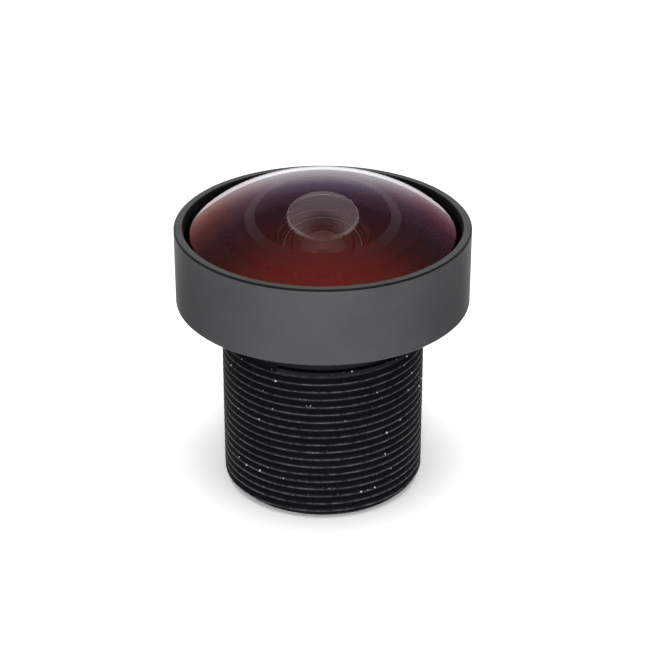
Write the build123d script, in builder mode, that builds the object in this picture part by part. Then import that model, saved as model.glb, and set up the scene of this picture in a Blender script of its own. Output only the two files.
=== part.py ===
from build123d import *
from math import radians, sqrt, tan
import os

# Fisheye lens on an M12 x 0.5 threaded neck. Millimetres, +Z towards the scene, the optical
# axis is Z, and the origin is the centre of the rear end face.

os.makedirs("parts", exist_ok=True)

# Threads: every thread here is right hand with 60 degree flanks.
flank_half_angle = 30
crest_flat_share = 0.125
root_flat_share = 1 / 6
groove_overrun_share = 0.08

# Barrel: threaded neck.
neck_r = 6.0
neck_pitch = 0.5
neck_turns = 19.7
neck_runout_turns = 0.14
neck_start_angle = 42.5
foot_chamfer = 0.5
relief_width = 0.2
relief_depth = 0.36
edge_break = 0.06
collar_length = 1.7

# Barrel: head that carries the front cell.
head_step = 1.5
head_pitch = 0.5
head_turns = 4.8
head_chamfer = 0.2

# Barrel: bores and the inner shoulder between the two lens groups.
front_wall = 0.7
rear_wall = 1.5
shoulder_width = 0.9
shoulder_thickness = 1.0
thread_lead_in = 0.15

# Fits.
screw_clearance = 0.04
element_clearance = 0.05

# Front cell, the plain ring that holds the front element.
cell_wall = 1.11
cell_height = 4.7
cell_seat_clearance = 0.6
cell_seat_thickness = 0.5
cell_rim_wall = 0.53
cell_edge_break = 0.07
cell_lip_break = 0.05
shim_thickness = 0.05

# Front element, a strong meniscus.
front_curve = 12.5
front_edge_bevel = 0.03
front_edge_recess = 0.4
front_rear_curve = 3.5
front_rear_share = 0.9229
front_bevel_width = 0.45
front_bevel_height = 0.25
front_rim_bevel = 0.1
bond_depth = 0.5
bond_recess = 0.35

# Second element, front spacer.
second_rim = 1.7
second_bulge = 1.264
second_half_share = 0.876
second_rear_curve = 2.8
second_rear_share = 0.893
front_spacer_wall = 0.55

# Third element.
third_rim = 1.6
third_bulge = 0.758
third_rear_bulge = 0.492
third_half_share = 0.764

# Stop and its two spacers.
spacer_wall = 0.9
stop_spacer_height = 1.3
stop_thickness = 0.1
stop_hole_r = 0.75
stop_hole_flare = 0.04
relay_spacer_height = 0.5

# Fourth element and its light shield.
fourth_rim = 0.9
fourth_bulge = 0.4
fourth_rear_bulge = 0.584
fourth_half_share = 0.629
shield_thickness = 0.1
shield_clearance = 0.2
rear_spacer_height = 1.1

# Cemented pair.
fifth_rim = 0.5
fifth_bulge = 0.419
fifth_half_share = 0.764
cement_bulge = 1.2
cement_half_share = 0.809
sixth_rim = 1.7
sixth_rear_bulge = 0.291

# Filter, washers and the screwed retainer.
filter_spacer_height = 0.4
filter_thickness = 0.3
filter_washer_thickness = 0.1
retainer_step = 0.35
retainer_wall = 1.35
retainer_pitch = 0.4
retainer_turns = 2.6
retainer_chamfer = 0.12
slot_width = 0.8
slot_depth = 0.5
slot_count = 2
spacer_break = 0.08
glass_bevel = 0.08

# One overrun serves every cut.
overrun = 0.5

# Radii and heights that follow from the sizes above.
neck_length = neck_turns * neck_pitch
collar_rear = neck_length + relief_width
head_rear = collar_rear + collar_length
head_top = head_rear + head_turns * head_pitch
head_r = neck_r + head_step
front_bore_r = neck_r - front_wall
rear_bore_r = neck_r - rear_wall
shoulder_r = rear_bore_r - shoulder_width
cell_seat_r = front_bore_r + cell_seat_clearance
cell_seat_rear = head_top + shim_thickness
cell_seat_front = cell_seat_rear + cell_seat_thickness
cell_front = head_rear + cell_height
cell_bore_r = head_r + screw_clearance
cell_r = cell_bore_r + cell_wall
cell_recess_r = cell_r - cell_rim_wall

shoulder_rear = neck_length + spacer_break
shoulder_front = shoulder_rear + shoulder_thickness

front_element_r = cell_recess_r - element_clearance
front_edge_z = cell_front - front_edge_recess
front_polished_r = front_element_r - front_edge_bevel
front_shoulder_z = front_edge_z - front_edge_bevel
front_rear_half = front_rear_share * front_rear_curve
front_bevel_r = front_rear_half + front_bevel_width

second_bottom = shoulder_front
second_top = second_bottom + second_rim
second_r = front_bore_r - element_clearance
second_half = second_half_share * second_r
second_rear_half = second_rear_share * second_rear_curve

rear_element_r = rear_bore_r - element_clearance
third_half = third_half_share * rear_element_r
fourth_half = fourth_half_share * rear_element_r
fifth_half = fifth_half_share * rear_element_r
cement_half = cement_half_share * rear_element_r
shield_hole_r = fourth_half + shield_clearance
third_top = shoulder_rear
third_bottom = third_top - third_rim
stop_top = third_bottom - stop_spacer_height
stop_bottom = stop_top - stop_thickness
fourth_top = stop_bottom - relay_spacer_height
fourth_bottom = fourth_top - fourth_rim
shield_bottom = fourth_bottom - shield_thickness
fifth_top = shield_bottom - rear_spacer_height
fifth_bottom = fifth_top - fifth_rim
sixth_bottom = fifth_bottom - sixth_rim
filter_top = sixth_bottom - filter_spacer_height
filter_bottom = filter_top - filter_thickness
washer_bottom = filter_bottom - filter_washer_thickness
retainer_r = rear_bore_r + retainer_step
retainer_hole_r = retainer_r - retainer_wall
retainer_height = retainer_turns * retainer_pitch
retainer_bottom = washer_bottom - retainer_height
retainer_bore_r = retainer_r + screw_clearance


def sag(curve, half):
    """Depth of a spherical cap of radius curve at the half width half."""
    return curve - sqrt(curve**2 - half**2)


def groove_depth(pitch):
    """Depth of the thread groove below its crest for a pitch."""
    return (1 - crest_flat_share - root_flat_share) * pitch / 2 / tan(radians(flank_half_angle))


def thread_groove(crest_r, pitch, first_z, turns, first_angle):
    """Solid of a right-hand thread groove that starts at first_z and first_angle, turn by turn."""
    depth = groove_depth(pitch)
    over = groove_overrun_share * pitch
    root_half = root_flat_share * pitch / 2
    mouth_half = root_half + (depth + over) * tan(radians(flank_half_angle))
    whole_turns = int(turns)
    lengths = [pitch] * whole_turns
    if turns > whole_turns:
        lengths.append(pitch * (turns - whole_turns))
    # One edge for each turn keeps the flanks short enough to be cut cleanly.
    edges = []
    for turn, length in enumerate(lengths):
        edges.append(Helix(pitch, length, crest_r, center=(0, 0, turn * pitch)).edge())
    route = Wire(edges)
    with BuildPart() as groove:
        with BuildSketch(Plane(origin=route @ 0, x_dir=(1, 0, 0), z_dir=route % 0)):
            with BuildLine():
                Polyline(
                    (-depth, root_half),
                    (over, mouth_half),
                    (over, -mouth_half),
                    (-depth, -root_half),
                    close=True,
                )
            make_face()
        sweep(path=route, is_frenet=True, clean=False)
    return groove.part.moved(Location((0, 0, first_z), (0, 0, first_angle)))


def cap_height(bulge, half, at):
    """Height above its rim of a spherical cap bulge deep and half wide, at a radius."""
    curve = (half**2 + bulge**2) / (2 * bulge)
    return bulge - sag(curve, at)


def element_profile(rim_r, top, bottom, front, rear):
    """Half section of a lens element; front and rear are (bulge, half width, side of the cap)."""
    front_bulge, front_half, front_side = front
    rear_bulge, rear_half, rear_side = rear
    front_apex = top + front_side * front_bulge
    rear_apex = bottom + rear_side * rear_bulge
    front_mid = top + front_side * cap_height(front_bulge, front_half, front_half / 2)
    rear_mid = bottom + rear_side * cap_height(rear_bulge, rear_half, rear_half / 2)
    with BuildSketch() as profile:
        with BuildLine():
            ThreePointArc((0, front_apex), (front_half / 2, front_mid), (front_half, top))
            Line((front_half, top), (rim_r - glass_bevel, top))
            Line((rim_r - glass_bevel, top), (rim_r, top - glass_bevel))
            Line((rim_r, top - glass_bevel), (rim_r, bottom + glass_bevel))
            Line((rim_r, bottom + glass_bevel), (rim_r - glass_bevel, bottom))
            Line((rim_r - glass_bevel, bottom), (rear_half, bottom))
            ThreePointArc((rear_half, bottom), (rear_half / 2, rear_mid), (0, rear_apex))
            Line((0, rear_apex), (0, front_apex))
        make_face()
    return profile.sketch


def ring_profile(outer_r, inner_r, top, bottom, edge):
    """Half section of a plain ring with its outer edges broken by edge."""
    with BuildSketch() as profile:
        with BuildLine():
            Polyline(
                (inner_r, top),
                (outer_r - edge, top),
                (outer_r, top - edge),
                (outer_r, bottom + edge),
                (outer_r - edge, bottom),
                (inner_r, bottom),
                close=True,
            )
        make_face()
    return profile.sketch


# Barrel: neck, relief, collar and head outside, two stepped bores inside.
neck_groove = thread_groove(
    neck_r, neck_pitch, -neck_pitch, neck_turns + 1 - neck_runout_turns, neck_start_angle
)
head_groove = thread_groove(head_r, head_pitch, head_rear - head_pitch, head_turns + 2, 0)
with BuildPart() as barrel:
    with BuildSketch(Plane.XZ):
        with BuildLine():
            Polyline(
                (retainer_bore_r + thread_lead_in, 0),
                (neck_r - foot_chamfer, 0),
                (neck_r, foot_chamfer),
                (neck_r, neck_length),
                (neck_r - relief_depth, neck_length),
                (neck_r - relief_depth, collar_rear),
                (neck_r - edge_break, collar_rear),
                (neck_r, collar_rear + edge_break),
                (neck_r, head_rear),
                (head_r, head_rear),
                (head_r, head_top - head_chamfer),
                (head_r - head_chamfer, head_top),
                (front_bore_r, head_top),
                (front_bore_r, shoulder_front),
                (shoulder_r, shoulder_front),
                (shoulder_r, shoulder_rear),
                (rear_bore_r, shoulder_rear),
                (rear_bore_r, filter_bottom),
                (retainer_bore_r, filter_bottom),
                (retainer_bore_r, thread_lead_in),
                close=True,
            )
        make_face()
    revolve(axis=Axis.Z)
    add(neck_groove, mode=Mode.SUBTRACT)
    add(head_groove, mode=Mode.SUBTRACT)
barrel.part.label = "barrel"
export_step(barrel.part, "parts/barrel.step")

# Front cell: plain outside, screwed on the barrel head, with a recess for the front element.
with BuildPart() as front_cell:
    with BuildSketch(Plane.XZ):
        with BuildLine():
            Polyline(
                (cell_bore_r + thread_lead_in, head_rear),
                (cell_r - cell_edge_break, head_rear),
                (cell_r, head_rear + cell_edge_break),
                (cell_r, cell_front - cell_edge_break),
                (cell_r - cell_edge_break, cell_front),
                (cell_recess_r + cell_lip_break, cell_front),
                (cell_recess_r, cell_front - cell_lip_break),
                (cell_recess_r, cell_seat_front),
                (cell_seat_r, cell_seat_front),
                (cell_seat_r, cell_seat_rear),
                (cell_bore_r, cell_seat_rear),
                (cell_bore_r, head_rear + thread_lead_in),
                close=True,
            )
        make_face()
    revolve(axis=Axis.Z)
front_cell.part.label = "front_cell"
export_step(front_cell.part, "parts/front_cell.step")

# Shim that sets the air space between the first two elements.
with BuildPart() as cell_shim:
    with BuildSketch(Plane.XY.offset(head_top)):
        Circle(head_r - head_chamfer)
        Circle(cell_seat_r, mode=Mode.SUBTRACT)
    extrude(amount=shim_thickness)
cell_shim.part.label = "cell_shim"
export_step(cell_shim.part, "parts/cell_shim.step")

# Front element: a big dome in front, a deep hollow behind with a ground bevel round its mouth.
hollow_rim_z = cell_seat_front + front_bevel_height
hollow_apex = hollow_rim_z + sag(front_rear_curve, front_rear_half)
hollow_mid = hollow_apex - sag(front_rear_curve, front_rear_half / 2)
dome_apex = front_edge_z + sag(front_curve, front_polished_r)
dome_mid = dome_apex - sag(front_curve, front_polished_r / 2)
with BuildPart() as front_element:
    with BuildSketch(Plane.XZ):
        with BuildLine():
            ThreePointArc(
                (0, dome_apex), (front_polished_r / 2, dome_mid), (front_polished_r, front_edge_z)
            )
            Polyline(
                (front_polished_r, front_edge_z),
                (front_element_r, front_shoulder_z),
                (front_element_r, cell_seat_front + front_rim_bevel),
                (front_element_r - front_rim_bevel, cell_seat_front),
                (front_bevel_r, cell_seat_front),
                (front_rear_half, hollow_rim_z),
            )
            ThreePointArc(
                (front_rear_half, hollow_rim_z), (front_rear_half / 2, hollow_mid), (0, hollow_apex)
            )
            Line((0, hollow_apex), (0, dome_apex))
        make_face()
    revolve(axis=Axis.Z)
front_element.part.label = "front_element"
export_step(front_element.part, "parts/front_element.step")

# Black bond that holds the front element in the cell and fills the gap over its bevel.
bond_mid_r = (front_polished_r + front_element_r) / 2
bond_mid_z = (front_edge_z + front_shoulder_z) / 2
with BuildPart() as element_bond:
    with BuildSketch(Plane.XZ):
        with BuildLine():
            Polyline(
                (front_element_r, front_shoulder_z - bond_depth),
                (cell_recess_r, front_shoulder_z - bond_depth),
                (cell_recess_r, cell_front - bond_recess),
                (bond_mid_r, bond_mid_z),
                (front_element_r, front_shoulder_z),
                close=True,
            )
        make_face()
    revolve(axis=Axis.Z)
element_bond.part.label = "element_bond"
export_step(element_bond.part, "parts/element_bond.step")

# Spacer between the second element and the back of the front element.
with BuildPart() as front_spacer:
    with BuildSketch(Plane.XZ):
        spacer_inner_r = second_r - front_spacer_wall
        add(ring_profile(second_r, spacer_inner_r, cell_seat_front, second_top, spacer_break))
    revolve(axis=Axis.Z)
front_spacer.part.label = "front_spacer"
export_step(front_spacer.part, "parts/front_spacer.step")

# Second element: meniscus with a small deep hollow behind.
with BuildPart() as second_element:
    with BuildSketch(Plane.XZ):
        front = (second_bulge, second_half, 1)
        rear = (sag(second_rear_curve, second_rear_half), second_rear_half, 1)
        add(element_profile(second_r, second_top, second_bottom, front, rear))
    revolve(axis=Axis.Z)
second_element.part.label = "second_element"
export_step(second_element.part, "parts/second_element.step")

# Third element: thick and convex on both sides, seated on the rear of the shoulder.
with BuildPart() as third_element:
    with BuildSketch(Plane.XZ):
        front = (third_bulge, third_half, 1)
        rear = (third_rear_bulge, third_half, -1)
        add(element_profile(rear_element_r, third_top, third_bottom, front, rear))
    revolve(axis=Axis.Z)
third_element.part.label = "third_element"
export_step(third_element.part, "parts/third_element.step")

# Spacer in front of the stop.
spacer_bore_r = rear_element_r - spacer_wall
with BuildPart() as stop_spacer:
    with BuildSketch(Plane.XZ):
        add(ring_profile(rear_element_r, spacer_bore_r, third_bottom, stop_top, spacer_break))
    revolve(axis=Axis.Z)
stop_spacer.part.label = "stop_spacer"
export_step(stop_spacer.part, "parts/stop_spacer.step")

# Aperture stop: thin disc whose hole flares towards the rear.
with BuildPart() as aperture_stop:
    with BuildSketch(Plane.XZ):
        with BuildLine():
            Polyline(
                (stop_hole_r, stop_top),
                (rear_element_r, stop_top),
                (rear_element_r, stop_bottom),
                (stop_hole_r + stop_hole_flare, stop_bottom),
                close=True,
            )
        make_face()
    revolve(axis=Axis.Z)
aperture_stop.part.label = "aperture_stop"
export_step(aperture_stop.part, "parts/aperture_stop.step")

# Spacer behind the stop.
with BuildPart() as relay_spacer:
    with BuildSketch(Plane.XZ):
        add(ring_profile(rear_element_r, spacer_bore_r, stop_bottom, fourth_top, spacer_break))
    revolve(axis=Axis.Z)
relay_spacer.part.label = "relay_spacer"
export_step(relay_spacer.part, "parts/relay_spacer.step")

# Fourth element: convex on both sides.
with BuildPart() as fourth_element:
    with BuildSketch(Plane.XZ):
        front = (fourth_bulge, fourth_half, 1)
        rear = (fourth_rear_bulge, fourth_half, -1)
        add(element_profile(rear_element_r, fourth_top, fourth_bottom, front, rear))
    revolve(axis=Axis.Z)
fourth_element.part.label = "fourth_element"
export_step(fourth_element.part, "parts/fourth_element.step")

# Thin light shield behind the fourth element.
with BuildPart() as light_shield:
    with BuildSketch(Plane.XY.offset(shield_bottom)):
        Circle(rear_element_r)
        Circle(shield_hole_r, mode=Mode.SUBTRACT)
    extrude(amount=shield_thickness)
light_shield.part.label = "light_shield"
export_step(light_shield.part, "parts/light_shield.step")

# Spacer in front of the cemented pair.
with BuildPart() as rear_spacer:
    with BuildSketch(Plane.XZ):
        add(ring_profile(rear_element_r, spacer_bore_r, shield_bottom, fifth_top, spacer_break))
    revolve(axis=Axis.Z)
rear_spacer.part.label = "rear_spacer"
export_step(rear_spacer.part, "parts/rear_spacer.step")

# Front half of the cemented pair.
with BuildPart() as fifth_element:
    with BuildSketch(Plane.XZ):
        front = (fifth_bulge, fifth_half, 1)
        rear = (cement_bulge, cement_half, -1)
        add(element_profile(rear_element_r, fifth_top, fifth_bottom, front, rear))
    revolve(axis=Axis.Z)
fifth_element.part.label = "fifth_element"
export_step(fifth_element.part, "parts/fifth_element.step")

# Rear half of the cemented pair, whose front follows the fifth element's rear.
with BuildPart() as sixth_element:
    with BuildSketch(Plane.XZ):
        front = (cement_bulge, cement_half, -1)
        rear = (sixth_rear_bulge, fifth_half, -1)
        add(element_profile(rear_element_r, fifth_bottom, sixth_bottom, front, rear))
    revolve(axis=Axis.Z)
sixth_element.part.label = "sixth_element"
export_step(sixth_element.part, "parts/sixth_element.step")

# Spacer that holds the filter clear of the rear glass.
with BuildPart() as filter_spacer:
    with BuildSketch(Plane.XZ):
        add(ring_profile(rear_element_r, spacer_bore_r, sixth_bottom, filter_top, spacer_break))
    revolve(axis=Axis.Z)
filter_spacer.part.label = "filter_spacer"
export_step(filter_spacer.part, "parts/filter_spacer.step")

# Infrared-cut filter, a flat disc.
with BuildPart() as ir_cut_filter:
    with BuildSketch(Plane.XY.offset(filter_bottom)):
        Circle(rear_element_r)
    extrude(amount=filter_thickness)
ir_cut_filter.part.label = "ir_cut_filter"
export_step(ir_cut_filter.part, "parts/ir_cut_filter.step")

# Slip washer between the filter and the retainer.
with BuildPart() as filter_washer:
    with BuildSketch(Plane.XY.offset(washer_bottom)):
        Circle(retainer_r)
        Circle(retainer_hole_r, mode=Mode.SUBTRACT)
    extrude(amount=filter_washer_thickness)
filter_washer.part.label = "filter_washer"
export_step(filter_washer.part, "parts/filter_washer.step")

# Retainer: thin screwed ring with two spanner slots in its rear face.
retainer_groove = thread_groove(
    retainer_r, retainer_pitch, retainer_bottom - retainer_pitch, retainer_turns + 2, 0
)
slot_length = retainer_r - retainer_hole_r
with BuildPart() as rear_retainer:
    with BuildSketch(Plane.XZ):
        add(
            ring_profile(
                retainer_r, retainer_hole_r, washer_bottom, retainer_bottom, retainer_chamfer
            )
        )
    revolve(axis=Axis.Z)
    add(retainer_groove, mode=Mode.SUBTRACT)
    with BuildSketch(Plane.XY.offset(retainer_bottom)):
        with PolarLocations((retainer_r + retainer_hole_r) / 2, slot_count):
            Rectangle(slot_length + 2 * overrun, slot_width)
    extrude(amount=slot_depth, mode=Mode.SUBTRACT)
rear_retainer.part.label = "rear_retainer"
export_step(rear_retainer.part, "parts/rear_retainer.step")
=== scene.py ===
import math

import bmesh
import bpy
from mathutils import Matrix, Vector

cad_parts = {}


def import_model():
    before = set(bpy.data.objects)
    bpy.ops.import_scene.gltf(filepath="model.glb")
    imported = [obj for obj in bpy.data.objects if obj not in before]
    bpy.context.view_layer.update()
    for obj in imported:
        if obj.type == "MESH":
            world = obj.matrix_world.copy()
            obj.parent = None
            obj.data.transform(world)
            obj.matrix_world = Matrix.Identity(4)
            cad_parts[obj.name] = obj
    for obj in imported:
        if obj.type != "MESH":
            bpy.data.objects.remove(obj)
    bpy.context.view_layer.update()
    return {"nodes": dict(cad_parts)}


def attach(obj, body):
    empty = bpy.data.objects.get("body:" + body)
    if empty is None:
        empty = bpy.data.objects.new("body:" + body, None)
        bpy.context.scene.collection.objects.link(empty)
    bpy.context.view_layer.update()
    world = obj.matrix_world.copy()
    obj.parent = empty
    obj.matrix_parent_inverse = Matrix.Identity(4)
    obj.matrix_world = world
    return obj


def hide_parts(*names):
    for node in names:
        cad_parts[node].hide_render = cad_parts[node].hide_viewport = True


# Fisheye lens on its threaded neck: its finishes, its studio, and the pieces drawn again for
# clean edges and clear glass. Sizes are in millimetres and become metres through MM.
MM = 0.001

# Camera: its distance in front of the axis, height, distance to the side, tilt, focal length in
# pixels, the picture's width in pixels, the sensor's width, and the depths it sees in metres.
CAMERA_BACK = 108.6
CAMERA_HEIGHT = 66.45
CAMERA_SIDE = 0.128
CAMERA_TILT = math.radians(27.54)
CAMERA_FOCAL_PX = 2060.0
PICTURE_PX = 650
SENSOR_WIDTH = 36.0
CLIP_START = 0.005
CLIP_END = 10.0

# Front cell, as the solid has it, with its two broken edges a little wider: the ring's size, its
# recess for the glass, the seat under the glass, and the bore behind.
CELL_R = 8.65
CELL_REAR = 11.75
CELL_FRONT = CELL_REAR + 4.7
CELL_EDGE = 0.1
CELL_LIP = 0.06
CELL_RECESS_R = CELL_R - 0.53
CELL_SEAT_R = 5.9
CELL_SEAT_REAR = 14.2
CELL_SEAT_FRONT = CELL_SEAT_REAR + 0.5
CELL_BORE_R = CELL_R - 1.11
CELL_ROUNDING = 0.012
# The recess's deep black, painted shade, reaches this share of the lip, and this far past the
# bore's wall.
LIP_SHADE_SHARE = 0.9
BORE_SHADE_REACH = 0.1

# Front element: loose in the recess, its dome's edge sunk below the cell's front, a small bevel
# round the dome, and a hollow behind with a wide bevel round its mouth.
GLASS_R = CELL_RECESS_R - 0.05
DOME_CURVE = 12.5
DOME_BEVEL = 0.03
DOME_R = GLASS_R - DOME_BEVEL
DOME_EDGE_Z = CELL_FRONT - 0.4
DOME_STEPS = 64
GLASS_SHOULDER_Z = DOME_EDGE_Z - DOME_BEVEL
HOLLOW_CURVE = 3.5
HOLLOW_HALF = 3.23
HOLLOW_MOUTH_R = HOLLOW_HALF + 0.45
HOLLOW_RIM_Z = CELL_SEAT_FRONT + 0.25
HOLLOW_STEPS = 48
# Above this height the front element has no face but the dome.
DOME_ONLY_Z = 17.4

# Bead of adhesive round the front element.
BOND_TOP_Z = GLASS_SHOULDER_Z + 0.02
BOND_DEPTH = 0.5
BOND_GAP = 0.002

# Elements behind the front one: CAD node, rim radius, heights of the front and the rear edge, and
# for the front and the rear cap its curve, half width and side, 1 to rise from its edge and -1 to
# sink.
ELEMENTS = [
    ("second_element", 5.25, 12.63, 10.93, (9.0, 4.6, 1), (2.8, 2.5, 1)),
    ("third_element", 4.45, 9.93, 8.33, (8.0, 3.4, 1), (12.0, 3.4, -1)),
    ("fourth_element", 4.45, 6.43, 5.53, (10.0, 2.8, 1), (7.0, 2.8, -1)),
    ("fifth_element", 4.45, 4.33, 3.83, (14.0, 3.4, 1), (6.0, 3.6, -1)),
    ("sixth_element", 4.45, 3.83, 2.13, (6.0, 3.6, -1), (20.0, 3.4, -1)),
]
RIM_BEVEL = 0.1
GROUND_RING = 0.07
# A face this close under the front edge still belongs to the ground ring.
RING_SLACK = 0.01

# Turned pieces: steps round the axis, steps along a cap, and the radius that counts as the axis.
TURN_STEPS = 256
ARC_STEPS = 40
AXIS_R = 1e-6
# A rounded corner takes at most this share of each side, and has this many steps.
CORNER_SHARE = 0.45
CORNER_STEPS = 4
# Angles in degrees from which an edge is sharp: in the cell, the bead and the glass.
CELL_SHARP = 40
BEAD_SHARP = 30
GLASS_SHARP = 20

# Mirror colours of the coatings, at shares from 0 for straight on to 1 for a glancing view.
NEAR_FRONT = [
    (0.0, (0.15, 0.016, 0.015)),
    (0.16, (0.09, 0.013, 0.011)),
    (0.29, (0.035, 0.009, 0.008)),
]
DOME_COATING = NEAR_FRONT + [
    (0.42, (0.023, 0.01, 0.015)),
    (0.52, (0.05, 0.028, 0.044)),
    (0.6, (0.096, 0.07, 0.108)),
    (0.68, (0.24, 0.2, 0.235)),
    (0.78, (0.42, 0.39, 0.425)),
    (0.86, (0.52, 0.51, 0.53)),
    (1.0, (0.4, 0.39, 0.4)),
]
# Painted reflection: tints of the dome's mirror colour for its left and for its right flank, set
# apart from each other to stand in for the different reflections on each side.
LEFT_FLANK_PAINTED_REFLECTION = NEAR_FRONT + [
    (0.42, (0.03, 0.011, 0.013)),
    (0.56, (0.08, 0.027, 0.025)),
    (0.65, (0.155, 0.06, 0.055)),
    (0.72, (0.23, 0.13, 0.11)),
    (0.8, (0.31, 0.26, 0.265)),
    (1.0, (0.38, 0.36, 0.365)),
]
RIGHT_FLANK_PAINTED_REFLECTION = NEAR_FRONT + [
    (0.42, (0.022, 0.01, 0.014)),
    (0.56, (0.047, 0.018, 0.028)),
    (0.65, (0.108, 0.042, 0.058)),
    (0.72, (0.18, 0.1, 0.125)),
    (0.8, (0.3, 0.25, 0.27)),
    (1.0, (0.38, 0.36, 0.365)),
]
# Mirror colour from inside the hollow, with a painted highlight: a bright narrow band near 0.25
# that draws a bright arc, instead of full reflection past the critical angle.
HOLLOW_INSIDE_PAINTED_BAND = [
    (0.0, (0.0, 0.0, 0.0)),
    (0.05, (0.066, 0.052, 0.052)),
    (0.16, (0.07, 0.056, 0.056)),
    (0.22, (0.12, 0.098, 0.1)),
    (0.25, (0.42, 0.39, 0.4)),
    (0.28, (0.06, 0.05, 0.05)),
    (0.34, (0.02, 0.016, 0.016)),
]
INNER_COATING = [
    (0.0, (0.006, 0.006, 0.005)),
    (0.4, (0.008, 0.007, 0.006)),
    (0.6, (0.03, 0.028, 0.028)),
    (0.8, (0.22, 0.2, 0.21)),
    (1.0, (0.95, 0.95, 0.95)),
]
FILTER_COATING = [(0.0, (0.12, 0.02, 0.05)), (0.5, (0.05, 0.03, 0.06)), (1.0, (0.9, 0.9, 0.9))]
FILTER_TINT = (0.6, 0.85, 0.9)
# The dome's mirror colour turns into a painted reflection tint for each flank between these
# distances either side of the middle.
FLANK_NEAR = 2.6
FLANK_FAR = 6.2
# Refractive indices.
DOME_IOR = 1.75
INNER_IOR = 1.65
FILTER_IOR = 1.52

# Metal and dust: the dark and the light tone of each, and the thread's groove and crest, painted
# dark as shade in the groove and light as a highlight on the crest.
BLACK_TONES = [(0.012, 0.012, 0.013), (0.022, 0.022, 0.024)]
GREY_TONES = [(0.055, 0.056, 0.059), (0.068, 0.069, 0.072)]
DULL_TONES = [(0.006, 0.006, 0.007), (0.012, 0.012, 0.013)]
STEEL_TONES = [(0.32, 0.32, 0.33), (0.42, 0.42, 0.43)]
DUST_TONES = [(0.45, 0.44, 0.42), (0.75, 0.74, 0.72)]
THREAD_PAINTED_TONES = [(0.011, 0.011, 0.014), (0.065, 0.065, 0.068)]

# Inked, glued, blackened and ground faces, and black painted as shade on the cell's front edge and
# in its recess.
EDGE_SHADE_BLACK = (0.004, 0.004, 0.004)
DEEP_BLACK = (0.002, 0.002, 0.002)
INK_BLACK = (0.0045, 0.004, 0.0045)
FOIL_BLACK = (0.006, 0.006, 0.006)
GROUND_WHITE = (0.3, 0.26, 0.26)

# Bevel round the hollow: its black, and its sheen from straight on to a glancing view.
BEVEL_BLACK = (0.004, 0.0035, 0.004)
BEVEL_SHEEN = [
    (0.02, (0.0, 0.0, 0.0)),
    (0.12, (0.01, 0.008, 0.009)),
    (0.3, (0.055, 0.045, 0.052)),
    (0.6, (0.075, 0.065, 0.075)),
]
BEVEL_ROUGHNESS = (0.6, 0.75)

# Noise in the finishes: scale, detail and roughness.
MOTTLE = (420.0, 4.0, 0.6)
PITS = (5400.0, 3.0, 0.7)
CREST_NOISE = (2600.0, 4.0, 0.7)
GROUND_FACE = (700.0, 2.0, 0.5)
FIBRE = (300.0, 3.0, 0.5)
INK_DETAIL = 3.0
INK_ROUGHNESS = 0.5
# Where in the noise a finish turns from its first tone to its second, and where in the pits.
UNEVEN_FROM_TO = (0.3, 0.7)
PITS_FROM_TO = (0.25, 0.75)
# Bumps: strength, and height in metres.
PIT_BUMP = (0.12, 0.00002)
TURNED_BUMP = (0.05, 0.00001)
CREST_NOISE_BUMP = (0.3, 0.00002)
INK_BUMP = (0.1, 0.00002)
# How far the roughness swings either way in anodising and in ink, how much lighter the ink gets
# in places, and how much a turning mark wavers.
ANODISED_SWING = 0.07
INK_SWING = 0.08
INK_LIGHTER = 1.8
TURNED_WAVER = 0.15

# Specks painted on anodising: full part and edge in the cell of a speck, the share of the cells
# left clean, and the colour.
SPOT_CORE = 0.035
SPOT_EDGE = 0.06
SPOT_CLEAN = 0.93
SPOT_COLOUR = (0.62, 0.61, 0.58)

# Neck: crest radius, where a crest's painted highlight begins, and the heights over which the
# thread darkens into painted shade under the cell.
NECK_R = 6.0
CREST_START = 5.93
CELL_SHADE_LOW = 9.3
CELL_SHADE_TOP = 9.7
# The noise that breaks the crests' painted highlight, from gap to full line, what a gap keeps, and
# gloss and roughness in the groove and on the crest.
CREST_BREAK_RANGE = (0.38, 0.62)
CREST_BREAK_KEPT = (0.12, 1.0)
THREAD_GLOSS = (0.04, 0.5)
THREAD_ROUGHNESS = (0.4, 0.55)

# Inputs of the dust tree, in metres and specks per square metre, and what the neck's dust sets.
SPECK_INPUTS = [
    ("Radius", "NodeSocketFloat", 0.006),
    ("Length", "NodeSocketFloat", 0.009),
    ("Middle", "NodeSocketFloat", 0.006),
    ("Density", "NodeSocketFloat", 1300000.0),
    ("Smallest", "NodeSocketFloat", 0.00001),
    ("Largest", "NodeSocketFloat", 0.00007),
    ("Seed", "NodeSocketInt", 1),
]
NECK_DUST = {"Radius": NECK_R * MM, "Length": 9.2 * MM, "Middle": 5.9 * MM, "Seed": 7}
SPECK_SIDES = 96
SPECK_SKEW = 6.0
SPECK_DETAIL = 2

# Studio: the surroundings as a light and as seen, the paper's tones and as seen, and the floor's
# half width. The paper turns into the white background between two distances.
WORLD_LEVELS = (0.25, 1.0)
PAPER_TONES = (0.78, 0.8)
PAPER_SHOWN = 2.1
PAPER_ROUGHNESS = 0.9
PAPER_GLOSS = 0.1
FLOOR_HALF = 600
FADE_NEAR = 60.0
FADE_FAR = 150.0
# Dark card that gloss shows on the floor each side: middle, full part, outer edge and tone.
CARD_PLACE = (40.0, 4.0)
CARD_CORE = 20.0
CARD_EDGE = 31.0
CARD_TONE = 0.02
# Lamps: name, place, aim, width and height, watts, and whether gloss shows it.
LAMPS = [
    ("top_softbox", (0, -40, 320), (0, 0, 8), (260, 260), 0.45, False),
    ("front_softbox", (0, -330, 60), (0, 0, 12), (90, 90), 0.65, True),
]

WHITE = (1.0, 1.0, 1.0)
BLACK = (0.0, 0.0, 0.0)


# Shapes.


def add_object(name, data):
    """A new object in the scene."""
    piece = bpy.data.objects.new(name, data)
    bpy.context.scene.collection.objects.link(piece)
    return piece


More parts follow.
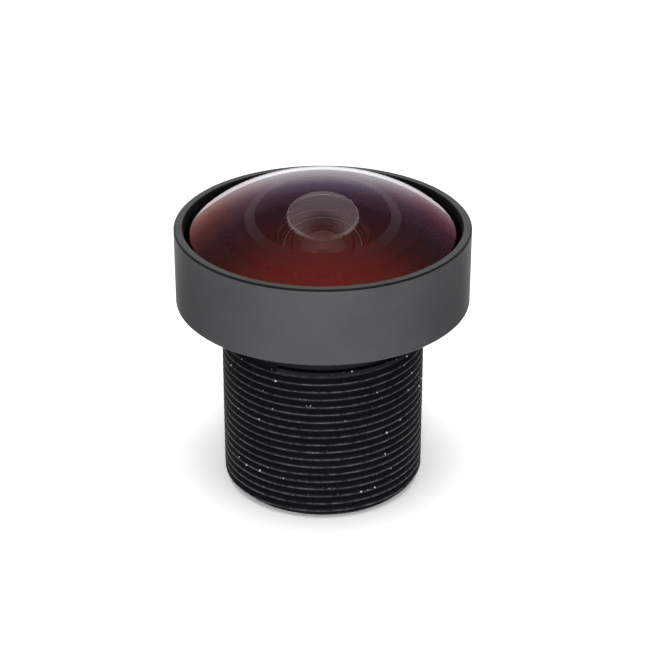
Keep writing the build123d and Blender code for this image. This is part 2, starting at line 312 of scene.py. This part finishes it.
def sag(curve, half):
    """Depth of a spherical cap."""
    return curve - math.sqrt(curve * curve - half * half)


def arc_points(curve, half, edge_z, side, steps=ARC_STEPS):
    """Points of a spherical cap from the axis out to its edge; side 1 rises, -1 sinks."""
    apex = edge_z + side * sag(curve, half)
    points = []
    for step in range(steps + 1):
        r = half * math.sin(step / steps * math.pi / 2)
        points.append((r, apex - side * sag(curve, r)))
    return points


def toward(point, other, radius):
    """The place on the way from a point to another where the rounding of its corner ends."""
    length = math.dist(point, other)
    reach = min(radius, length * CORNER_SHARE)
    return [a + (b - a) * reach / length for a, b in zip(point, other)]


def rounded(points, radius):
    """The closed outline with each corner rounded by a small arc of about that radius."""
    result = []
    for index, point in enumerate(points):
        start = toward(point, points[index - 1], radius)
        end = toward(point, points[(index + 1) % len(points)], radius)
        for step in range(CORNER_STEPS + 1):
            t = step / CORNER_STEPS
            weights = ((1 - t) ** 2, 2 * t * (1 - t), t * t)
            corner = zip(start, point, end)
            result.append([sum(w * v for w, v in zip(weights, values)) for values in corner])
    return result


def turn(outline):
    """The outline's points turned round the axis, and the numbers of those in each ring."""
    points = []
    rings = []
    for r, z in outline:
        first = len(points)
        if r < AXIS_R:
            points.append((0.0, 0.0, z * MM))
        else:
            for step in range(TURN_STEPS):
                angle = 2 * math.pi * step / TURN_STEPS
                points.append((r * MM * math.cos(angle), r * MM * math.sin(angle), z * MM))
        rings.append(range(first, len(points)))
    return points, rings


def band(low, high):
    """Faces between two rings; a ring on the axis has one point."""
    if len(low) == 1 and len(high) == 1:
        return []
    faces = []
    for step in range(TURN_STEPS):
        after = (step + 1) % TURN_STEPS
        if len(low) == 1:
            faces.append((low[0], high[step], high[after]))
        elif len(high) == 1:
            faces.append((low[step], high[0], low[after]))
        else:
            faces.append((low[step], high[step], high[after], low[after]))
    return faces


def lathe(name, outline, sharp, closed=True, pick=None):
    """Turned piece from an outline of (radius, height); pick gives the number of a band's
    material from its middle radius and height."""
    points, rings = turn(outline)
    faces = []
    kinds = []
    for index in range(len(outline) if closed else len(outline) - 1):
        after = (index + 1) % len(outline)
        middle = [(a + b) / 2 for a, b in zip(outline[index], outline[after])]
        added = band(rings[index], rings[after])
        faces += added
        kinds += [pick(*middle) if pick else 0] * len(added)
    mesh = bpy.data.meshes.new(name)
    mesh.from_pydata(points, [], faces)
    mesh.polygons.foreach_set("material_index", kinds)
    mesh.polygons.foreach_set("use_smooth", [True] * len(faces))
    mesh.update()
    mesh.set_sharp_from_angle(angle=math.radians(sharp))
    return add_object(name, mesh)


def face_outwards(piece):
    """Turns every face of the piece to point outwards."""
    mesh = bmesh.new()
    mesh.from_mesh(piece.data)
    bmesh.ops.recalc_face_normals(mesh, faces=mesh.faces)
    mesh.to_mesh(piece.data)
    mesh.free()


# Node trees. A value given to one of these is a number, a colour or another node's output.


def set_inputs(tree, node, inputs):
    """Sets a node's inputs, by name or number, or links them to other nodes' outputs."""
    for key, value in inputs.items():
        if isinstance(value, bpy.types.NodeSocket):
            tree.links.new(value, node.inputs[key])
        else:
            node.inputs[key].default_value = value


def add_node(tree, kind, inputs, **settings):
    """A node of that kind with its settings and inputs."""
    node = tree.nodes.new(kind)
    for key, value in settings.items():
        setattr(node, key, value)
    set_inputs(tree, node, inputs)
    return node


def opaque(colour):
    """The colour with full alpha; an output stays as it is."""
    return colour if isinstance(colour, bpy.types.NodeSocket) else (*colour, 1.0)


def grey(value):
    """A grey as a colour."""
    return (value, value, value)


def own_place(tree):
    """The place on the piece, in metres."""
    return add_node(tree, "ShaderNodeTexCoord", {}).outputs["Object"]


def own_axes(tree, place):
    """The outputs X, Y and Z of a place."""
    return add_node(tree, "ShaderNodeSeparateXYZ", {"Vector": place}).outputs


def facing(tree):
    """Nought straight on, and one at a glancing view."""
    return add_node(tree, "ShaderNodeLayerWeight", {"Blend": 0.5}).outputs["Facing"]


def noise(tree, place, texture):
    """Noise of a scale, detail and roughness."""
    scale, detail, roughness = texture
    inputs = {"Vector": place, "Scale": scale, "Detail": detail, "Roughness": roughness}
    return add_node(tree, "ShaderNodeTexNoise", inputs).outputs["Fac"]


def bump(tree, height, shape, **under):
    """Normal that follows a height; shape is the bump's strength and height, and under may give
    the Normal that it starts from."""
    strength, distance = shape
    inputs = {"Height": height, "Strength": strength, "Distance": distance, **under}
    return add_node(tree, "ShaderNodeBump", inputs).outputs["Normal"]


def ramp(tree, share, stops):
    """Colour that follows a share through (place, colour) stops."""
    stops = list(stops)
    node = add_node(tree, "ShaderNodeValToRGB", {"Fac": share})
    elements = node.color_ramp.elements
    while len(elements) < len(stops):
        elements.new(1.0)
    for element, (place, colour) in zip(elements, stops):
        element.position = place
        element.color = (*colour, 1.0)
    return node.outputs["Color"]


def grey_ramp(tree, share, ends, places=UNEVEN_FROM_TO):
    """Grey that follows a share from one tone to another."""
    return ramp(tree, share, zip(places, map(grey, ends)))


def map_range(tree, value, source=(0.0, 1.0), target=(0.0, 1.0)):
    """The value moved from one range to another and kept inside it."""
    names = ("From Min", "From Max", "To Min", "To Max")
    inputs = {"Value": value, **dict(zip(names, (*source, *target)))}
    return add_node(tree, "ShaderNodeMapRange", inputs).outputs["Result"]


def maths(tree, operation, *values):
    """Result of an operation on one or two values."""
    inputs = dict(enumerate(values))
    return add_node(tree, "ShaderNodeMath", inputs, operation=operation).outputs["Value"]


def vector_maths(tree, operation, output, *values):
    """Result of an operation on one or two vectors."""
    inputs = dict(enumerate(values))
    return add_node(tree, "ShaderNodeVectorMath", inputs, operation=operation).outputs[output]


def mix_colours(tree, share, first, second, blend="MIX"):
    """The first colour changed towards the second by a share."""
    inputs = {"Factor": share, 6: opaque(first), 7: opaque(second)}
    settings = {"data_type": "RGBA", "blend_type": blend}
    return add_node(tree, "ShaderNodeMix", inputs, **settings).outputs[2]


def show_sum(tree, first, second):
    """The surface shows the sum of two shaders."""
    shaders = {0: first.outputs["BSDF"], 1: second.outputs["BSDF"]}
    total = add_node(tree, "ShaderNodeAddShader", shaders)
    set_inputs(tree, tree.nodes["Material Output"], {"Surface": total.outputs["Shader"]})


# Materials.


def new_material(name):
    """A node material, its tree and its shader."""
    material = bpy.data.materials.new(name)
    material.use_nodes = True
    tree = material.node_tree
    return material, tree, tree.nodes["Principled BSDF"]


def spots(tree, place, scale):
    """Is one on a few small round specks."""
    cells = add_node(tree, "ShaderNodeTexVoronoi", {"Vector": place, "Scale": scale}).outputs
    stops = [(0.0, WHITE), (SPOT_CORE, WHITE), (SPOT_EDGE, BLACK)]
    near = ramp(tree, cells["Distance"], stops)
    chance = add_node(tree, "ShaderNodeTexWhiteNoise", {"Vector": cells["Position"]})
    chosen = maths(tree, "GREATER_THAN", chance.outputs["Value"], SPOT_CLEAN)
    return maths(tree, "MULTIPLY", near, chosen)


def anodised(name, tones, roughness, turned=0.0, speck=0.0, gloss=0.5, metal=0.0):
    """Anodised aluminium, bare steel or dust: mottled colour and fine pits, with turning marks and
    painted specks where their scale is given."""
    material, tree, shader = new_material(name)
    place = own_place(tree)
    colour = ramp(tree, noise(tree, place, MOTTLE), zip(UNEVEN_FROM_TO, tones))
    if speck:
        colour = mix_colours(tree, spots(tree, place, speck), colour, SPOT_COLOUR)
    pits = noise(tree, place, PITS)
    ends = (roughness - ANODISED_SWING, roughness + ANODISED_SWING)
    normal = bump(tree, pits, PIT_BUMP)
    if turned:
        inputs = {"Vector": place, "Scale": turned, "Distortion": TURNED_WAVER}
        marks = add_node(tree, "ShaderNodeTexWave", inputs, bands_direction="Z")
        normal = bump(tree, marks.outputs["Fac"], TURNED_BUMP, Normal=normal)
    inputs = {
        "Base Color": colour,
        "Roughness": grey_ramp(tree, pits, ends, PITS_FROM_TO),
        "Normal": normal,
        "Specular IOR Level": gloss,
        "Metallic": metal,
    }
    set_inputs(tree, shader, inputs)
    return material


def matt(name, colour, roughness, scale=1500.0, gloss=0.5):
    """Ink, foil, adhesive or ground glass: one colour with a slightly uneven sheen."""
    material, tree, shader = new_material(name)
    uneven = noise(tree, own_place(tree), (scale, INK_DETAIL, INK_ROUGHNESS))
    tones = (colour, [part * INK_LIGHTER for part in colour])
    inputs = {
        "Base Color": ramp(tree, uneven, zip(UNEVEN_FROM_TO, tones)),
        "Roughness": grey_ramp(tree, uneven, (roughness - INK_SWING, roughness + INK_SWING)),
        "Normal": bump(tree, uneven, INK_BUMP),
        "Specular IOR Level": gloss,
    }
    set_inputs(tree, shader, inputs)
    return material


def painted_crest_light_share(tree, place, crest_noise):
    """Share of painted highlight on the thread: nought in a groove and in the painted shade under
    the cell, more on a crest, broken by noise.
    """
    flat = vector_maths(tree, "MULTIPLY", "Vector", place, (1.0, 1.0, 0.0))
    radius = vector_maths(tree, "LENGTH", "Value", flat)
    # Painted highlight on the crests and painted shade in the grooves: lighter with the radius.
    height = map_range(tree, radius, (CREST_START * MM, NECK_R * MM))
    share = maths(tree, "MULTIPLY", height, map_range(tree, crest_noise, CREST_BREAK_RANGE, CREST_BREAK_KEPT))
    # Painted shade under the cell: the thread turns dark between these heights.
    ends = (CELL_SHADE_TOP * MM, CELL_SHADE_LOW * MM)
    unshaded = map_range(tree, own_axes(tree, place)["Z"], ends)
    return maths(tree, "MULTIPLY", share, unshaded)


def threaded(name, tones):
    """Anodised thread: dark matt grooves painted as shade, and crests painted lighter as a
    highlight, in broken lines.
    """
    material, tree, shader = new_material(name)
    place = own_place(tree)
    crest_noise = noise(tree, place, CREST_NOISE)
    share = painted_crest_light_share(tree, place, crest_noise)
    inputs = {
        "Base Color": ramp(tree, share, zip((0.0, 1.0), tones)),
        "Specular IOR Level": map_range(tree, share, target=THREAD_GLOSS),
        "Roughness": grey_ramp(tree, crest_noise, THREAD_ROUGHNESS),
        "Normal": bump(tree, crest_noise, CREST_NOISE_BUMP),
    }
    set_inputs(tree, shader, inputs)
    return material


def ground_bevel(name):
    """Inked ground bevel: black seen straight on, with a faint sheen at a glancing angle."""
    material, tree, shader = new_material(name)
    uneven = noise(tree, own_place(tree), GROUND_FACE)
    inputs = {
        "Base Color": opaque(BEVEL_BLACK),
        "Specular IOR Level": 0.0,
        "Roughness": grey_ramp(tree, uneven, BEVEL_ROUGHNESS),
    }
    set_inputs(tree, shader, inputs)
    colour = ramp(tree, facing(tree), BEVEL_SHEEN)
    show_sum(tree, shader, add_node(tree, "ShaderNodeBsdfDiffuse", {"Color": colour}))
    return material


def coating_and_painted_flank_colour(tree, angle, stops, sides):
    """Mirror colour of a coating by angle, with a painted reflection tint mixed in on its left and
    right flanks; sides gives the stops for those flanks.
    """
    colour = ramp(tree, angle, stops)
    if not sides:
        return colour
    across = own_axes(tree, own_place(tree))["X"]
    for flank, way in zip(sides, (-1, 1)):
        share = map_range(tree, across, (FLANK_NEAR * MM * way, FLANK_FAR * MM * way))
        colour = mix_colours(tree, share, colour, ramp(tree, angle, flank))
    return colour


def coated_glass(name, ior, stops, tint=WHITE, sides=(), inner_stops=()):
    """Polished coated glass. The coating's mirror colour follows the angle through the stops, with
    a painted reflection tint on the flanks where side stops are given; from inside it follows
    inner_stops, which can paint a highlight band, or only the full reflection past the critical
    angle is strong."""
    material, tree, shader = new_material(name)
    tree.nodes.remove(shader)
    angle = facing(tree)
    outside = coating_and_painted_flank_colour(tree, angle, stops, sides)
    if inner_stops:
        # The inner stops can paint a highlight band into the mirror colour.
        inside = ramp(tree, angle, inner_stops)
    else:
        fresnel = add_node(tree, "ShaderNodeFresnel", {"IOR": ior})
        inside = maths(tree, "POWER", fresnel.outputs["Fac"], 2.0)
    back = add_node(tree, "ShaderNodeNewGeometry", {}).outputs["Backfacing"]
    mirror = mix_colours(tree, back, outside, inside)
    rest = mix_colours(tree, 1.0, tint, mirror, "SUBTRACT")
    inputs = {"Color": rest, "IOR": ior, "Roughness": 0.0}
    bend = add_node(tree, "ShaderNodeBsdfRefraction", inputs)
    shine = add_node(tree, "ShaderNodeBsdfGlossy", {"Color": mirror, "Roughness": 0.0})
    show_sum(tree, bend, shine)
    return material


def metal_finishes():
    """Materials of the metal parts and of the dust, by name."""
    return {
        "black": anodised("black_anodised", BLACK_TONES, 0.38, speck=900.0),
        "grey": anodised("grey_anodised", GREY_TONES, 0.5, speck=500.0, gloss=0.25),
        "dull": anodised("dull_black", DULL_TONES, 0.55, turned=2600.0),
        "dust": anodised("white_dust", DUST_TONES, 0.7),
        "steel": anodised("shim_steel", STEEL_TONES, 0.3, turned=2000.0, metal=1.0),
        "thread": threaded("threaded_black", THREAD_PAINTED_TONES),
    }


def matt_finishes():
    """Materials of the inked, glued, blackened and ground faces, and of the cell's painted shade,
    by name.
    """
    return {
        # Painted shade on the cell's front edge.
        "edge": matt("edge_painted_shade", EDGE_SHADE_BLACK, 0.5, gloss=0.1),
        # Painted shade in the cell's recess.
        "inside": matt("recess_painted_shade", DEEP_BLACK, 0.7, gloss=0.2),
        "ink": matt("edge_ink", INK_BLACK, 0.6, scale=160.0, gloss=0.0),
        "bevel": ground_bevel("bevel_ink"),
        "ground": matt("ground_ring", GROUND_WHITE, 0.7, scale=800.0),
        "bond": matt("black_bond", DEEP_BLACK, 0.7, gloss=0.12),
        "foil": matt("black_foil", FOIL_BLACK, 0.5),
    }


def glass_finishes():
    """Materials of the glass faces, by name."""
    # The flanks' stops paint a reflection tint on the dome's left and right sides.
    flanks = (LEFT_FLANK_PAINTED_REFLECTION, RIGHT_FLANK_PAINTED_REFLECTION)
    return {
        "dome": coated_glass("dome_glass", DOME_IOR, DOME_COATING, sides=flanks),
        "hollow": coated_glass("hollow_glass", DOME_IOR, INNER_COATING, inner_stops=HOLLOW_INSIDE_PAINTED_BAND),
        "inner": coated_glass("inner_glass", INNER_IOR, INNER_COATING),
        "filter": coated_glass("filter_glass", FILTER_IOR, FILTER_COATING, FILTER_TINT),
    }


# Pieces.


def dress(piece, *materials):
    """Gives the piece's slots these materials, and adds the slots that it lacks."""
    for index, material in enumerate(materials):
        if index < len(piece.material_slots):
            piece.material_slots[index].material = material
        else:
            piece.data.materials.append(material)


def carry(piece, body, slot, *nodes):
    """The piece rides on a body and stands for CAD nodes, which it hides; slot is not used."""
    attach(piece, body)
    if nodes:
        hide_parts(*nodes)


def front_cell(*materials):
    """The plain wide ring, in grey, with black painted as shade on its front edge and in its
    recess.
    """
    outline = [
        (CELL_BORE_R, CELL_REAR),
        (CELL_R - CELL_EDGE, CELL_REAR),
        (CELL_R, CELL_REAR + CELL_EDGE),
        (CELL_R, CELL_FRONT - CELL_EDGE),
        (CELL_R - CELL_EDGE, CELL_FRONT),
        (CELL_RECESS_R + CELL_LIP, CELL_FRONT),
        (CELL_RECESS_R, CELL_FRONT - CELL_LIP),
        (CELL_RECESS_R, CELL_SEAT_FRONT),
        (CELL_SEAT_R, CELL_SEAT_FRONT),
        (CELL_SEAT_R, CELL_SEAT_REAR),
        (CELL_BORE_R, CELL_SEAT_REAR),
    ]

    def pick(r, z):
        # Painted shade: the cell's front outer edge in black.
        if r > CELL_R - CELL_EDGE and z > CELL_FRONT - CELL_EDGE:
            return 1
        # Painted shade: the recess, part of the lip and the bore in deep black.
        if r < CELL_RECESS_R + CELL_LIP * LIP_SHADE_SHARE and z > CELL_SEAT_REAR - CELL_EDGE:
            return 2
        return 2 if r < CELL_BORE_R + BORE_SHADE_REACH else 0

    outline = rounded(outline, CELL_ROUNDING)
    piece = lathe("front_cell_turned", outline, CELL_SHARP, pick=pick)
    dress(piece, *materials)
    carry(piece, "front_group", "anodised_grey", "front_cell")


def bond_bead(material):
    """The black bead that seals the glass in its recess."""
    low = GLASS_SHOULDER_Z - BOND_DEPTH
    outline = [
        (GLASS_R + BOND_GAP, low),
        (CELL_RECESS_R, low),
        (CELL_RECESS_R, BOND_TOP_Z),
        (GLASS_R + BOND_GAP, GLASS_SHOULDER_Z),
    ]
    piece = lathe("element_bond_bead", outline, BEAD_SHARP)
    face_outwards(piece)
    dress(piece, material)
    carry(piece, "front_group", "black_bond", "element_bond")


def front_glass(*materials):
    """The domed meniscus, in dome glass, edge ink, hollow glass and bevel ink."""
    dome = arc_points(DOME_CURVE, DOME_R, DOME_EDGE_Z, 1, DOME_STEPS)
    inked = [
        (GLASS_R, GLASS_SHOULDER_Z),
        (GLASS_R, CELL_SEAT_FRONT + RIM_BEVEL),
        (GLASS_R - RIM_BEVEL, CELL_SEAT_FRONT),
        (HOLLOW_MOUTH_R, CELL_SEAT_FRONT),
    ]
    hollow = arc_points(HOLLOW_CURVE, HOLLOW_HALF, HOLLOW_RIM_Z, 1, HOLLOW_STEPS)
    outline = dome + inked + hollow[::-1]

    def pick(r, z):
        if z > DOME_ONLY_Z or (r > HOLLOW_HALF and z > DOME_EDGE_Z):
            return 0
        if r < HOLLOW_HALF:
            return 2
        return 3 if r < HOLLOW_MOUTH_R else 1

    piece = lathe("front_element_polished", outline, GLASS_SHARP, closed=False, pick=pick)
    face_outwards(piece)
    dress(piece, *materials)
    carry(piece, "front_group", "front_glass", "front_element")


def element(node, rim_r, top, bottom, front, rear, materials):
    """A lens element behind the dome, in glass, edge ink and the white of its ground ring."""
    front_curve, front_half, front_side = front
    rear_curve, rear_half, rear_side = rear
    edge = [
        (front_half + GROUND_RING, top),
        (rim_r - RIM_BEVEL, top),
        (rim_r, top - RIM_BEVEL),
        (rim_r, bottom + RIM_BEVEL),
        (rim_r - RIM_BEVEL, bottom),
    ]
    back = arc_points(rear_curve, rear_half, bottom, rear_side)
    outline = arc_points(front_curve, front_half, top, front_side) + edge + back[::-1]

    def pick(r, z):
        if z > top - RING_SLACK and front_half < r < front_half + GROUND_RING:
            return 2
        return 1 if r > front_half and r > rear_half else 0

    piece = lathe(node + "_polished", outline, GLASS_SHARP, closed=False, pick=pick)
    face_outwards(piece)
    dress(piece, *materials)
    carry(piece, "lens_body", "inner_glass", node)


def dress_nodes(nodes, metal, plain, glass):
    """Gives the CAD's own pieces their materials."""
    dress(nodes["barrel"], metal["thread"])
    dress(nodes["rear_retainer"], metal["black"])
    dress(nodes["cell_shim"], metal["steel"])
    for name in ("front_spacer", "stop_spacer", "relay_spacer", "rear_spacer", "filter_spacer"):
        dress(nodes[name], metal["dull"])
    for name in ("aperture_stop", "light_shield", "filter_washer"):
        dress(nodes[name], plain["foil"])
    dress(nodes["ir_cut_filter"], glass["filter"])


# Dust.


def seated_points(tree, given, target):
    """Points strewn round a cylinder, each dropped on the target's surface."""
    sizes = {"Radius": given["Radius"], "Depth": given["Length"], "Vertices": SPECK_SIDES}
    tube = add_node(tree, "GeometryNodeMeshCylinder", sizes, fill_type="NONE")
    middle = add_node(tree, "ShaderNodeCombineXYZ", {"Z": given["Middle"]})
    shift = {"Geometry": tube.outputs["Mesh"], "Translation": middle.outputs["Vector"]}
    moved = add_node(tree, "GeometryNodeTransform", shift)
    inputs = {"Mesh": moved.outputs["Geometry"], "Density": given["Density"], "Seed": given["Seed"]}
    points = add_node(tree, "GeometryNodeDistributePointsOnFaces", inputs)
    inputs = {"Object": target}
    body = add_node(tree, "GeometryNodeObjectInfo", inputs, transform_space="ORIGINAL")
    inputs = {0: body.outputs["Geometry"]}
    nearest = add_node(tree, "GeometryNodeProximity", inputs, target_element="FACES")
    seat = {"Geometry": points.outputs["Points"], "Position": nearest.outputs["Position"]}
    return add_node(tree, "GeometryNodeSetPosition", seat).outputs["Geometry"]


def speck_sizes(tree, given):
    """Sizes by chance, most of them small."""
    chance = add_node(tree, "FunctionNodeRandomValue", {"Seed": given["Seed"]})
    skewed = maths(tree, "POWER", chance.outputs[1], SPECK_SKEW)
    return map_range(tree, skewed, target=(given["Smallest"], given["Largest"]))


def speck_tree(material, target):
    """Node tree that strews specks over the target, and the identifiers of its inputs."""
    tree = bpy.data.node_groups.new("scattered_specks", "GeometryNodeTree")
    keys = {}
    for name, kind, value in SPECK_INPUTS:
        socket = tree.interface.new_socket(name=name, in_out="INPUT", socket_type=kind)
        socket.default_value = value
        keys[name] = socket.identifier
    tree.interface.new_socket(name="Specks", in_out="OUTPUT", socket_type="NodeSocketGeometry")
    given = tree.nodes.new("NodeGroupInput").outputs
    ball = {"Radius": 1.0, "Subdivisions": SPECK_DETAIL}
    speck = add_node(tree, "GeometryNodeMeshIcoSphere", ball)
    inputs = {
        "Points": seated_points(tree, given, target),
        "Instance": speck.outputs["Mesh"],
        "Scale": speck_sizes(tree, given),
    }
    placed = add_node(tree, "GeometryNodeInstanceOnPoints", inputs)
    inputs = {"Geometry": placed.outputs["Instances"]}
    real = add_node(tree, "GeometryNodeRealizeInstances", inputs)
    inputs = {"Geometry": real.outputs["Geometry"], "Material": material}
    finish = add_node(tree, "GeometryNodeSetMaterial", inputs)
    add_node(tree, "NodeGroupOutput", {"Specks": finish.outputs["Geometry"]})
    return tree, keys


def specks(name, material, target, body, slot, values):
    """Dust on the target, as one plain mesh that rides on its body."""
    host = add_object(name + "_host", bpy.data.meshes.new(name + "_host"))
    tree, keys = speck_tree(material, target)
    modifier = host.modifiers.new("specks", "NODES")
    modifier.node_group = tree
    for key, value in values.items():
        modifier[keys[key]] = value
    graph = bpy.context.evaluated_depsgraph_get()
    mesh = bpy.data.meshes.new_from_object(host.evaluated_get(graph))
    bpy.data.objects.remove(host)
    carry(add_object(name, mesh), body, slot)


# Camera and studio.


def camera():
    """The camera at the photograph's place."""
    data = bpy.data.cameras.new("photo_camera")
    data.sensor_width = SENSOR_WIDTH
    data.lens = CAMERA_FOCAL_PX * SENSOR_WIDTH / PICTURE_PX
    data.clip_start = CLIP_START
    data.clip_end = CLIP_END
    view = add_object("photo_camera", data)
    view.location = (CAMERA_SIDE * MM, -CAMERA_BACK * MM, CAMERA_HEIGHT * MM)
    view.rotation_euler = (math.pi / 2 - CAMERA_TILT, 0.0, 0.0)
    bpy.context.scene.camera = view


def lamp(name, place, aim, size, power, gloss):
    """A soft lamp at a place, turned towards aim; gloss shows it in gloss."""
    data = bpy.data.lights.new(name, "AREA")
    data.shape = "RECTANGLE"
    data.size = size[0] * MM
    data.size_y = size[1] * MM
    data.energy = power
    piece = add_object(name, data)
    piece.visible_glossy = gloss
    piece.visible_transmission = False
    piece.location = [v * MM for v in place]
    way = Vector(aim) - Vector(place)
    piece.rotation_euler = way.to_track_quat("-Z", "Y").to_euler()


def shown_background(tree):
    """Is one for the camera's rays, glossy rays and rays through glass, and nought for light."""
    path = add_node(tree, "ShaderNodeLightPath", {}).outputs
    shown = maths(tree, "MAXIMUM", path["Is Camera Ray"], path["Is Glossy Ray"])
    return maths(tree, "MAXIMUM", shown, path["Is Transmission Ray"])


def card_share(tree, place):
    """Is one, in gloss alone, where a dark card stands for each side of the studio."""
    axes = own_axes(tree, place)
    folded = {"X": maths(tree, "ABSOLUTE", axes["X"]), "Y": axes["Y"]}
    spot = add_node(tree, "ShaderNodeCombineXYZ", folded).outputs["Vector"]
    middle = (CARD_PLACE[0] * MM, CARD_PLACE[1] * MM, 0.0)
    away = vector_maths(tree, "DISTANCE", "Value", spot, middle)
    share = map_range(tree, away, (CARD_EDGE * MM, CARD_CORE * MM))
    path = add_node(tree, "ShaderNodeLightPath", {}).outputs
    return maths(tree, "MULTIPLY", share, path["Is Glossy Ray"])


def floor_paper():
    """White paper that fades into the background, with the dark cards that gloss shows."""
    material, tree, shader = new_material("floor_paper")
    place = own_place(tree)
    tone = grey_ramp(tree, noise(tree, place, FIBRE), PAPER_TONES)
    shown = shown_background(tree)
    paper = mix_colours(tree, shown, tone, grey(PAPER_SHOWN))
    away = vector_maths(tree, "LENGTH", "Value", place)
    fade = map_range(tree, away, (FADE_NEAR * MM, FADE_FAR * MM))
    inputs = {
        "Base Color": mix_colours(tree, card_share(tree, place), paper, grey(CARD_TONE)),
        "Roughness": PAPER_ROUGHNESS,
        "Specular IOR Level": PAPER_GLOSS,
        "Emission Color": opaque(WHITE),
        "Emission Strength": maths(tree, "MULTIPLY", fade, shown),
    }
    set_inputs(tree, shader, inputs)
    return material


def studio():
    """Pale floor, white surroundings for the camera, gloss and glass, and soft lamps."""
    world = bpy.data.worlds.new("studio_world")
    bpy.context.scene.world = world
    world.use_nodes = True
    tree = world.node_tree
    level = map_range(tree, shown_background(tree), target=WORLD_LEVELS)
    set_inputs(tree, tree.nodes["Background"], {"Strength": level, "Color": opaque(WHITE)})

    half = FLOOR_HALF * MM
    corners = [(-half, -half, 0), (half, -half, 0), (half, half, 0), (-half, half, 0)]
    mesh = bpy.data.meshes.new("floor")
    mesh.from_pydata(corners, [], [(0, 1, 2, 3)])
    floor = add_object("floor", mesh)
    dress(floor, floor_paper())

    for values in LAMPS:
        lamp(*values)


def main():
    """Builds the scene around the frame."""
    for leftover in ("Cube", "Light", "Camera"):
        if leftover in bpy.data.objects:
            bpy.data.objects.remove(bpy.data.objects[leftover])
    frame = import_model()
    nodes = frame["nodes"]
    camera()
    studio()

    metal = metal_finishes()
    plain = matt_finishes()
    glass = glass_finishes()
    front_cell(metal["grey"], plain["edge"], plain["inside"])
    bond_bead(plain["bond"])
    front_glass(glass["dome"], plain["ink"], glass["hollow"], plain["bevel"])
    for values in ELEMENTS:
        element(*values, (glass["inner"], plain["ink"], plain["ground"]))
    dress_nodes(nodes, metal, plain, glass)
    barrel = nodes["barrel"]
    specks("neck_dust", metal["dust"], barrel, "lens_body", "anodised_black", NECK_DUST)

    bpy.context.scene.view_settings.view_transform = "Standard"


main()
